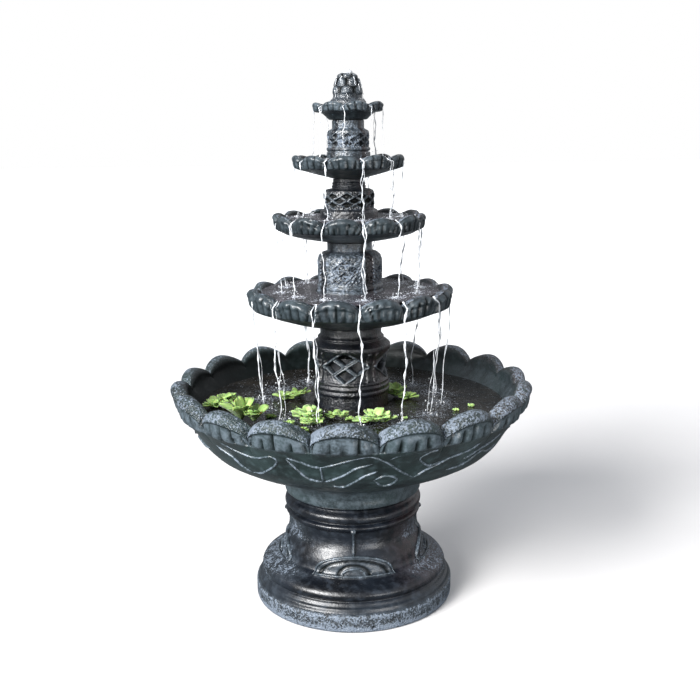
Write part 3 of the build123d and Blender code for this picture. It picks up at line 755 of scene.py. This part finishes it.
FOOT = [
    (292, 0), (316, 0), (320, 6), (320, 52), (312, 60), (309, 72), (301, 75), (298, 85), (290, 88),
    (298, 97), (299, 108), (293, 118), (281, 126), (266, 132), (252, 138), (245, 143),
    (231, 148), (227, 158), (225, 172), (220, 186), (212, 200), (203, 214), (198, 230), (197, 248),
    (201, 272), (211, 279), (218, 286), (218, 293), (211, 297), (203, 300), (212, 304), (220, 313),
    (220, 325), (213, 333), (206, 337), (200, 345)]
FOOT_CAVITY = [(140, 345), (140, 361), (118, 361), (118, 322), (170, 310), (174, 190), (235, 100), (286, 50)]
# The foot's panels: the height they start from, half their width in degrees, and the half width in degrees
# and height of the arch's ridge and of the half round inside it.
PANELS = 4
PANEL_FOOT = 143
PANEL_HALF = 30
ARCH = (31, 55)
HALF_ROUND = (8.5, 24)


def foot_relief(shape, wall):
    """The four arches, ribs and half rounds of the foot's bell."""
    for k in range(PANELS):
        turn = 360 / PANELS * k
        sweep = np.linspace(0, pi, 15)
        for (wide, high), out, size in ((ARCH, 3, 9), (HALF_ROUND, 5, 7)):
            arch = [(turn - wide * cos(s), PANEL_FOOT + high * sin(s) ** 0.8) for s in sweep]
            bead(shape, wall + (out, 0), arch, size, 7, 4, pale=0.34, worn=0.8)
        bead(shape, wall, [(turn, 198), (turn, 225), (turn, 256), (turn, 284)], 9, 11, pale=0.3, worn=0.5)
        bead(shape, wall, [(turn - 1.6, 281), (turn, 283), (turn + 1.6, 281)], 14, 9, pale=0.3, worn=0.5)
        base = [(turn + a, PANEL_FOOT + 2) for a in range(-PANEL_HALF, PANEL_HALF + 1, 6)]
        bead(shape, wall + (4, 0), base, 6, 5, 4, pale=0.3, worn=0.6)


def panel_shape(azimuth, height):
    """How far each point of the foot stands inside a raised arch, and how deep in the arch's grooves."""
    quarter = from_panel(azimuth)
    rise = height - PANEL_FOOT
    arch = np.sqrt(np.clip(1 - (quarter / radians(PANEL_HALF)) ** 2, 0, None))
    raised = ease(0.06, -0.04, rise / ARCH[1] - arch ** 0.8) * ease(-3, 3, rise)
    raised = raised * (np.abs(quarter) < radians(PANEL_HALF))
    reach = np.hypot(quarter / radians(ARCH[0]), rise / ARCH[1])
    disc = np.hypot(quarter / radians(HALF_ROUND[0]), rise / HALF_ROUND[1])
    groove = ease(0.07, 0.03, np.abs(reach - 0.84)) + ease(0.22, 0.1, np.abs(disc - 1.4))
    return raised, np.clip(groove, 0, 1) * raised


def foot_marks(azimuth, height, raised, groove):
    """The foot's stone: worn and chipped on its plinth, lighter and speckled at its two sides, with painted
    shade in its arch grooves and drips on its edge.
    """
    plinth = ease(62, 50, height)
    band = ease(24, 12, height) + 0.55 * ease(40, 56, height) * ease(90, 72, height)
    drips = ease(0.90, 0.98, np.cos(23 * azimuth + 3 * np.sin(5 * azimuth)))
    drips = drips * ease(44, 16, height)
    edge = 0.10 * np.sin(height / 17) + 0.06 * np.sin(height / 7 + 1)
    side = ease(0.62, 1.0, np.abs(np.sin(azimuth)) + edge)
    side = side * ease(60, 90, height) * ease(330, 250, height)
    # The hollow mark is painted shade in the arch grooves, and drip stains near the bottom.
    return dict(
        pale=0.24 * plinth + 0.2 * band + 0.33 * side,
        worn=0.66 * plinth + 0.2 * band + 0.25 * side + 0.35 * raised,
        hollow=np.clip(0.9 * groove + 0.8 * drips, 0, 0.9), speckle=plinth + 0.5 * side)


def pedestal():
    """The stepped round foot."""
    rng = np.random.default_rng(SEED + 30)
    wall = outline(FOOT, 3.2, 2)
    line = np.vstack([wall, outline(FOOT_CAVITY, 12, 0)])
    azimuth = full_turn(520)
    height = np.repeat(line[:, 1:], azimuth.size, 1)
    face = (np.arange(len(line)) < len(wall))[:, None]
    raised, groove = panel_shape(azimuth, height)
    radius = line[:, :1] + lump(rng, azimuth, line[:, 1:], 0.9) * (line[:, 1:] > 1)
    radius = radius + (5.0 * raised - 3.0 * groove) * face
    marks = {name: value * face for name, value in foot_marks(azimuth, height, raised, groove).items()}
    marks["rust"] = side_rust(azimuth) * ease(60, 140, height) * 0.8
    shape = Shape()
    shape.grid(around(radius, height, azimuth), **marks)
    low, high = np.argmax(wall[:, 1] > PANEL_FOOT - 1), np.argmax(wall[:, 1] > 290)
    foot_relief(shape, wall[low:high])
    casting(shape, "pedestal", "pedestal", stone)


FINIAL = [
    (14, 1541), (52, 1541), (55, 1545), (55, 1560), (50, 1566), (44, 1571), (43, 1578), (46, 1584),
    (45, 1594), (42, 1604), (38, 1614), (34, 1625), (30, 1636), (21, 1642), (7, 1644), (6, 1565), (14, 1560)]

# The bud's scales: where they start, how many rows, how high a row is and how many scales it has.
BUD_FOOT = 1578
SCALE_ROWS = 3
ROW_HEIGHT = 24
ROW_SCALES = 6


def finial():
    """The bud: staggered rows of pointed scales over a flared base, with painted shade between the scales."""
    rng = np.random.default_rng(SEED + 40)
    line = outline(FINIAL, 1.4, 2)
    azimuth = full_turn(280)
    radius = line[:, :1]
    height = line[:, 1:]
    bud = ease(BUD_FOOT, BUD_FOOT + 8, height) * ease(1643, 1636, height) * (radius > 16)
    row = (height - BUD_FOOT) / ROW_HEIGHT
    scales = np.zeros((len(line), azimuth.size))
    for k in range(SCALE_ROWS):
        across = np.cos(ROW_SCALES * azimuth + k * pi + 0.4)
        rise = ease(k - 0.2, k + 0.35, row) * ease(k + 1.25, k + 0.95 - 0.25 * (1 - across), row)
        scales = np.maximum(scales, rise * np.sqrt(np.clip(across * 0.5 + 0.5, 0, 1)))
    relief = bud * (6 * scales - 4) + lump(rng, azimuth, height, 0.8)
    shape = Shape()
    # The hollow mark paints shade in the gaps between the scales.
    shape.grid(around(radius + relief * (radius > 16), height, azimuth), pale=0.12 * scales * bud, wet=1.0,
               worn=0.3 + 0.3 * scales, hollow=0.9 * bud * ease(0.55, 0.2, scales), speckle=0.5)
    casting(shape, "finial", "finial", stone)


# ---- water ----

def notch_azimuths(n):
    """Where dish n + 1 pours, in degrees."""
    lobes = DISHES[n]["lobes"]
    return [DISHES[n]["turn"] + (k + 0.5) * 360 / lobes for k in range(lobes)]


def landing(n, reach):
    """Where the streams of dish n + 1 land: (azimuth, radius) pairs; reach is how far they carry."""
    lip = DISHES[n]["rim"][0]
    return [(a, lip + reach) for a in notch_azimuths(n)]


# How far from each dish's lip its streams land, and how thick they are, from dish 1 up.
STREAM_REACH = [-24, -10, -6, 3]
STREAM_THICKNESS = [3.3, 2.9, 2.6, 2.2]
# Each dish's pool: its inner and outer radius, and the length of its ripples.
DISH_POOLS = [(106, 277, 17), (89, 202, 14), (68, 146, 12), (56, 92, 9)]


def pool(name, body, level, inner, wall, ripple, hits, material):
    """A pool as a thin closed skin: rings spread from where the streams land in it."""
    out = np.linspace(0, 1, 84)[:, None]
    azimuth = full_turn(300)
    radius = inner + (wall - inner) * out + 0 * azimuth
    x = radius * np.sin(azimuth)
    y = -radius * np.cos(azimuth)
    wave = np.zeros_like(x)
    foam = np.zeros_like(x)
    for number, (a, r) in enumerate(hits):
        away = np.hypot(x - r * sin(radians(a)), y + r * cos(radians(a)))
        wave += np.cos(away / ripple * tau + number) * np.exp(-away / (ripple * 3.2))
        foam += np.exp(-(away / (ripple * 2.2)) ** 2)
    calm = ease(0, 0.06, out) * ease(1, 0.96, out)
    top = level + wave * calm
    height = np.vstack([top, np.full_like(top, level - 5)])
    skin = around(np.vstack([radius, radius[::-1]]), height, azimuth)
    shape = Shape()
    shape.grid(skin[::-1], foam=np.clip(np.vstack([foam, foam]), 0, 1.2)[::-1])
    piece(shape, name, material, body)


def pools():
    """The basin's pool and the four dishes'."""
    hits = landing(0, STREAM_REACH[0])
    pool("basin_pool", "basin", BASIN_WATER, 118, 482, 26, hits, basin_water)
    for n in range(TIERS):
        hits = landing(n + 1, STREAM_REACH[n + 1]) if n + 1 < TIERS else []
        pool(f"dish_{n + 1}_pool", f"tier_{n + 1}", WATER_LEVELS[n], *DISH_POOLS[n], hits, dish_water)


def stream_path(rng, azimuth, lip, top, bottom, reach, sway):
    """The line that one stream falls along, in metres: over the lip, then down with a slight sway."""
    drop = top - bottom
    t = np.linspace(0, 1, max(16, int(drop / 9)))
    side = radians(azimuth)
    over = ease(0.0, 0.06, t)
    out = lip - 18 + 20 * over + reach * ease(0.05, 1.0, t)
    down = top - drop * t
    phase = rng.uniform(0, tau, 3)
    swing = sway * over * (np.sin(9 * t + phase[0]) + 0.5 * np.sin(27 * t + phase[1]))
    radial = 0.5 * sway * over * np.sin(13 * t + phase[2])
    spot = around(out + radial, down, side)
    return spot + np.stack([np.cos(side) * swing, np.sin(side) * swing, 0 * swing], -1) * MM


def stream(shape, rng, azimuth, lip, top, bottom, reach, thick):
    """One thin, uneven thread of water, with a few breaks in its thickness."""
    path = stream_path(rng, azimuth, lip, top, bottom, reach, 2.2 + 0.008 * (top - bottom))
    t = np.linspace(0, 1, len(path))
    beads = 0.7 + 0.3 * np.sin(t * rng.uniform(30, 60) + rng.uniform(0, tau))
    jitter = rng.uniform(0.45, 1.55, len(path))
    size = thick * (1.1 - 0.4 * t) * beads * jitter * MM
    side = radians(azimuth)
    outward = np.broadcast_to([sin(side), -cos(side), 0.0], path.shape)
    shape.grid(tube(path, outward, size * 1.1, size * 0.8, 7), wrap_rows=False, capped=True)


def drops(shape, rng, centre, count, spread, rise, size):
    """A spray of droplets round a landing place, in millimetres."""
    turn = full_turn(6)
    lift = np.array([-0.9, -0.45, 0.45, 0.9])[:, None] * pi / 2
    ball = np.stack([np.cos(lift) * np.cos(turn), np.cos(lift) * np.sin(turn), np.sin(lift) + 0 * turn], -1)
    for _ in range(count):
        angle = rng.uniform(0, tau)
        away = spread * rng.uniform(0.1, 1) ** 1.4
        height = rise * rng.uniform(0, 1) ** 2.2
        middle = np.array(centre) + (away * cos(angle), away * sin(angle), height)
        shape.grid((ball * size * rng.uniform(0.4, 1.3) + middle) * MM, wrap_rows=False, capped=True)


def streams():
    """Water falling from every notch of each dish, and the spray where it lands."""
    levels = [BASIN_WATER] + WATER_LEVELS
    for n in range(TIERS):
        rng = np.random.default_rng(SEED + 50 + n)
        shape = Shape()
        spray = Shape()
        top = WATER_LEVELS[n] + 1
        bottom = levels[n] - 2
        lip, reach = DISHES[n]["rim"][0], STREAM_REACH[n]
        for azimuth in notch_azimuths(n):
            for k in range(rng.integers(1, 3)):
                place = azimuth + rng.normal(0, 0.8) + 1.4 * k
                weight = STREAM_THICKNESS[n] * rng.uniform(0.6, 1.1) / (1 + 0.8 * k)
                stream(shape, rng, place, lip, top, bottom, reach * rng.uniform(0.6, 1.4), weight)
            hit = around(lip + reach, bottom + 3, radians(azimuth)) / MM
            drops(spray, rng, hit, 16, 20 + 8 * (n == 0), 22 + 26 * (n == 0), 1.9 - 0.25 * n)
        lower = f"tier_{n}" if n else "basin"
        falling = shape.build(f"streams_{n + 1}", stream_water)
        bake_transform(falling)
        piece(spray, f"spray_{n + 1}", stream_water, lower)


FILM_RUNS = 16


def finial_film():
    """The water that wells up at the tip of the bud and runs down it in beads."""
    rng = np.random.default_rng(SEED + 60)
    shape = Shape()
    line = outline(FINIAL[1:-3], 1.4, 2)
    for k in range(FILM_RUNS):
        azimuth = 360 / FILM_RUNS * k + rng.normal(0, 8)
        start = rng.uniform(BUD_FOOT - 3, 1640)
        heights = np.linspace(start, start - rng.uniform(10, 26), 8)
        radius = np.interp(heights, line[:, 1], line[:, 0]) + 2.2
        sway = rng.normal(0, 2.5, len(heights)).cumsum() * 0.5
        path = around(radius, heights, np.radians(azimuth + sway))
        outward = unit(path * (1, 1, 0))
        size = rng.uniform(0.5, 1.2) * MM * (0.7 + 0.3 * np.sin(np.arange(len(path)) * 1.7))
        shape.grid(tube(path, outward, size * 1.5, size * 0.8, 7), wrap_rows=False, capped=True)
    drops(shape, rng, (0, 0, 1642), 20, 18, 7, 2.0)
    dome = outline([(0.5, 1640), (17, 1640), (15, 1647), (9, 1652), (0.5, 1653.5)], 1.5, 3)
    turn = full_turn(32)
    shape.grid(around(dome[:, :1], dome[:, 1:] + 0.8 * np.sin(3 * turn), turn), wrap_rows=False, capped=True)
    piece(shape, "finial_water", stream_water, "finial")


# ---- plants ----

def lettuce_leaf(shape, rng, root, direction, length, lift):
    """One spatula-shaped ribbed leaf, thin but closed, from its root outwards; lift is its slope there."""
    stations = np.linspace(0, 1, 9)
    half = length * (0.08 + 0.27 * np.sin(pi * np.clip(stations, 0, 0.97) ** 1.5) ** 0.75)
    half[-1] *= 0.62
    across = np.array([-1, -0.72, -0.4, 0, 0.4, 0.72, 1, 0.72, 0.4, 0, -0.4, -0.72])
    under = np.array([0, 0, 0, 0, 0, 0, 0, 1, 1, 1, 1, 1])
    ribs = np.abs(np.sin(across * pi * 2.2))
    slope = lift * (1 - rng.uniform(0.3, 0.8) * stations)
    x = (length / 8 * np.cumsum(np.cos(slope)))[:, None] + 0 * across[None, :]
    y = half[:, None] * across[None, :]
    cup = 0.35 * half[:, None] * across[None, :] ** 2
    wave = 0.05 * length * np.sin(across[None, :] * 5 + rng.uniform(0, 6)) * stations[:, None]
    rise = length / 8 * np.cumsum(np.sin(slope))
    z = rise[:, None] + cup + wave - 1.6 * under[None, :] + 0.8 * ribs[None, :] * (1 - under)
    turn = radians(direction)
    points = np.stack([root[0] + x * cos(turn) - y * sin(turn),
                       root[1] + x * sin(turn) + y * cos(turn), root[2] + z], -1)
    rib = (0.5 * (1 - ribs) * (1 - under))[None, :] * np.ones((9, 1))
    heart = ease(0.45, 0.0, stations)[:, None] * np.ones((1, 12))
    shape.grid(points[:, ::-1] * MM, wrap_rows=False, capped=True, rib=rib[:, ::-1], heart=heart)


def rosette(shape, rng, centre, size, stand):
    """A water lettuce: rings of leaves, the inner ones steeper; stand lifts them all, in radians."""
    for count, share, lift in ((6, 1.1, 0.15), (5, 0.95, 0.6), (3, 0.7, 1.0)):
        offset = rng.uniform(0, 360)
        for k in range(count):
            direction = offset + 360 / count * k + rng.normal(0, 14)
            length = size / 2 * share * rng.uniform(0.7, 1.2)
            root = (centre[0], centre[1], BASIN_WATER + 1)
            lettuce_leaf(shape, rng, root, direction, length, (lift + stand) * rng.uniform(0.7, 1.2))


# Plants on the basin's water: (azimuth, radius, size, stand), in degrees, millimetres and radians.
LETTUCE = {
    "lettuce_green": (leaf_green, [
        (-82, 432, 66, 0.3), (-88, 408, 76, 0.3), (-94, 392, 60, 0.4), (-80, 385, 60, 0.2),
        (-57, 392, 122, 0.95), (-52, 366, 96, 0.9), (-55, 300, 30, 0.1), (-99, 212, 66, 0.2),
        (-107, 176, 62, 0.5), (108, 148, 84, 0.5), (97, 184, 66, 0.2), (-26, 262, 66, 0.3),
        (-18, 196, 50, 0.3), (-36, 315, 34, 0.2), (-24, 352, 34, 0.3), (-1, 210, 30, 0.1)]),
    "lettuce_pale": (leaf_pale, [
        (-31, 256, 108, 0.55), (-38, 236, 60, 0.5), (-24, 292, 66, 0.4), (-9, 196, 46, 0.7),
        (10, 248, 66, 0.3), (16, 252, 86, 0.45), (21, 262, 66, 0.5), (78, 380, 22, 0.1),
        (69, 342, 16, 0.1), (38, 255, 16, 0.1)]),
    "fallen_leaf": (leaf_orange, [(-31, 332, 24, 0.0)]),
}


def plants():
    """Water lettuce floating in the basin, and one fallen leaf."""
    for name, (material, places) in LETTUCE.items():
        rng = np.random.default_rng(SEED + 70 + len(places))
        shape = Shape()
        for azimuth, radius, size, stand in places:
            centre = around(radius, 0, radians(azimuth)) / MM
            rosette(shape, rng, centre, size, stand)
        piece(shape, name, material, "basin")


# ---- the CAD's own pieces ----

# The CAD's other slots, as arguments of plain_finish.
PLAIN_FINISHES = {
    "black_rubber": ("rubber_finish", (20, 20, 21), (32, 32, 33), 240, 0.6, 0.0003),
    "pvc_pipe": ("pipe_finish", (196, 198, 196), (214, 215, 212), 120, 0.35, 0.0002),
    "pump_plastic": ("pump_finish", (24, 26, 30), (38, 40, 44), 300, 0.42, 0.0003),
    "impeller_plastic": ("impeller_finish", (188, 190, 186), (210, 212, 208), 260, 0.4, 0.0002),
    "clear_hose": ("hose_finish", (208, 222, 220), (224, 234, 232), 90, 0.2, 0.0003,
                   "Transmission Weight", 0.7),
    "filter_foam": ("foam_finish", (22, 26, 36), (48, 54, 68), 700, 0.9, 0.002),
    "core_steel": ("core_finish", (120, 122, 126), (150, 152, 156), 320, 0.35, 0.0002, "Metallic", 1.0),
    "copper": ("copper_finish", (150, 84, 56), (196, 122, 86), 180, 0.3, 0.0003, "Metallic", 1.0),
    "magnet": ("magnet_finish", (40, 40, 42), (60, 60, 62), 280, 0.5, 0.0003),
    "shaft_ceramic": ("ceramic_finish", (224, 222, 214), (238, 236, 230), 200, 0.18, 0.0001),
    "clip_steel": ("clip_finish", (168, 170, 174), (196, 198, 202), 260, 0.25, 0.0002, "Metallic", 1.0),
}


def finish_cad_nodes():
    """Gives every CAD piece the finish of its own slot."""
    finishes = {slot: plain_finish(*values) for slot, values in PLAIN_FINISHES.items()}
    finishes["cast_stone"] = stone
    for part in frame["record"]["subparts"]:
        materials = frame["nodes"][part["node"]].data.materials
        materials.clear()
        materials.append(finishes[part["material_slot"]])


# ---- studio ----

# The camera, in metres and degrees, and its lens in millimetres.
CAMERA_HEIGHT = 1.440
CAMERA_AWAY = 2.892
CAMERA_PITCH = 12.43
CAMERA_ROLL = -0.75
LENS = 48.3


def camera():
    """The camera, square to the front, a little below the top dish."""
    data = bpy.data.cameras.new("camera")
    data.lens = LENS
    data.sensor_width = 36.0
    made = bpy.data.objects.new("camera", data)
    made.location = (-0.003, -CAMERA_AWAY, CAMERA_HEIGHT)
    tilt = Euler((radians(90 - CAMERA_PITCH), 0, 0)).to_matrix()
    made.rotation_euler = (tilt @ Matrix.Rotation(radians(CAMERA_ROLL), 3, "Z")).to_euler()
    bpy.context.scene.collection.objects.link(made)
    bpy.context.scene.camera = made


def softbox(name, azimuth, elevation, away, size, power, aim=0.8):
    """A square area light that looks at the fountain's axis, at the height aim."""
    data = bpy.data.lights.new(name, "AREA")
    data.size = size
    data.energy = power
    made = bpy.data.objects.new(name, data)
    side = radians(azimuth)
    up = radians(elevation)
    offset = Vector((cos(up) * sin(side), -cos(up) * cos(side), sin(up))) * away
    made.location = Vector((0, 0, aim)) + offset
    made.rotation_euler = offset.to_track_quat("Z", "Y").to_euler()
    bpy.context.scene.collection.objects.link(made)


def sun(name, azimuth, elevation, strength, spread):
    """A light that is even over the whole floor, with a soft shadow."""
    data = bpy.data.lights.new(name, "SUN")
    data.energy = strength
    data.angle = radians(spread)
    made = bpy.data.objects.new(name, data)
    made.rotation_euler = (radians(90 - elevation), 0, radians(azimuth))
    bpy.context.scene.collection.objects.link(made)


def floor():
    """A plain pale floor, whiter far away, which bounces less light than it shows."""
    points = np.array([[(-40, -40, 0), (40, -40, 0)], [(-40, 60, 0), (40, 60, 0)]], float)
    made, tree, shader, place = new_material("floor_paint", Roughness=0.9, Specular_IOR_Level=0.1)
    seen = add(tree, "LightPath").outputs["Is Camera Ray"]
    paint = mix(noise(place, 3.0), colour(201, 199, 198), colour(205, 203, 202))
    far = ramp(add(tree, "SeparateXYZ", (0, place)).outputs["Y"], 1.2, 7.0)
    paint = mix(far, paint, (0.95, 0.95, 0.95, 1))
    drive(shader, Base_Color=mix(seen, colour(92, 96, 98), paint))
    shape = Shape()
    shape.grid(points, wrap_rows=False, wrap_columns=False)
    ground = shape.build("floor", made)


def studio():
    """Pale floor, white surroundings, soft suns and a softbox from the front left, and two weaker fills."""
    floor()
    world = bpy.data.worlds.new("studio")
    world.use_nodes = True
    tree = world.node_tree
    place = add(tree, "SeparateXYZ", (0, add(tree, "TexCoord").outputs["Generated"])).outputs
    low = mix(ramp(place["X"], 0.1, 0.9), (0.14, 0.145, 0.15, 1), (0.85, 0.88, 0.92, 1))
    sky = mix(ramp(place["Z"], 0.0, 0.9), low, (0.62, 0.66, 0.72, 1))
    seen = add(tree, "LightPath").outputs["Is Camera Ray"]
    drive(tree.nodes["Background"], Color=mix(seen, sky, (1, 1, 1, 1)))
    bpy.context.scene.world = world
    bpy.context.scene.view_settings.view_transform = "Standard"
    sun("key", -49, 30, 4.4, 24)
    sun("low_key", -33, 20, 3.6, 28)
    softbox("left", -45, 28, 3.2, 1.8, 90)
    softbox("back", 160, 50, 4.0, 1.4, 20)
    softbox("right", 30, -5, 2.2, 0.9, 24, aim=0.45)


camera()
studio()
pedestal()
basin()
for tier in range(TIERS):
    column(tier)
    dish(tier)
finial()
pools()
streams()
finial_film()
plants()
finish_cad_nodes()
